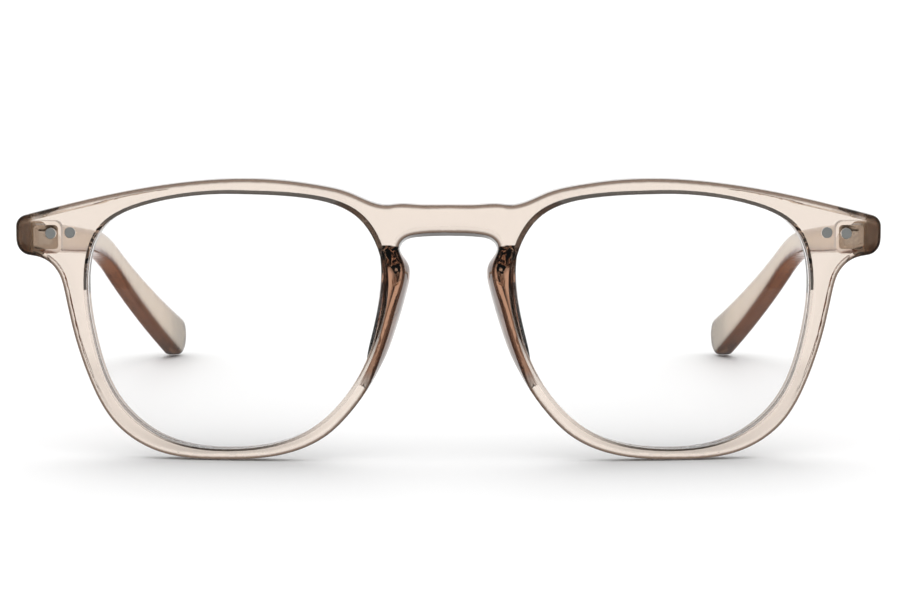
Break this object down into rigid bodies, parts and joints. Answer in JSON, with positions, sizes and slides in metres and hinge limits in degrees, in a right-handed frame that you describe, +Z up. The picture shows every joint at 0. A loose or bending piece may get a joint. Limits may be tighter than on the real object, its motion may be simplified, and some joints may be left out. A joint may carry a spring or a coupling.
{
  "type": "clear-lens glasses",
  "caption": "Full-rim crystal plastic glasses with a keyhole bridge, clear lenses and two folding temple arms on metal barrel hinges.",
  "frame": {"origin": "middle of the footprint, on the surface that the rims and arm tips stand on", "axes": "+X to the wearer's left, -Y the way the wearer looks, +Z up with the front upright"},
  "size_m": [0.1436, 0.1556, 0.0465],
  "materials": {
    "front_plastic": "polished transparent champagne plastic",
    "arm_plastic": "polished transparent champagne plastic",
    "lens": "clear coated lens",
    "rivet": "fine satin",
    "hinge": "bright satin",
    "screw": "turned"
  },
  "bodies": {
    "front": {"front_frame": "front_plastic", "front_rivet_left_inner": "rivet", "front_rivet_left_outer": "rivet", "front_rivet_right_inner": "rivet", "front_rivet_right_outer": "rivet", "hinge_front_leaf_left": "hinge", "hinge_front_leaf_right": "hinge", "hinge_screw_left": "screw", "hinge_screw_right": "screw", "lens_left": "lens", "lens_right": "lens"},
    "arm_left": {"temple_left": "arm_plastic", "hinge_temple_leaf_left": "hinge"},
    "arm_right": {"temple_right": "arm_plastic", "hinge_temple_leaf_right": "hinge"}
  },
  "joints": [
    {"name": "fold_left", "type": "hinge", "parent": "front", "child": "arm_left", "pos_m": [0.0675, -0.06249, 0.03621], "axis": [0, 0, 1], "range_deg": [0, 87]},
    {"name": "fold_right", "type": "hinge", "parent": "front", "child": "arm_right", "pos_m": [-0.0675, -0.06249, 0.03621], "axis": [0, 0, -1], "range_deg": [0, 83]}
  ]
}
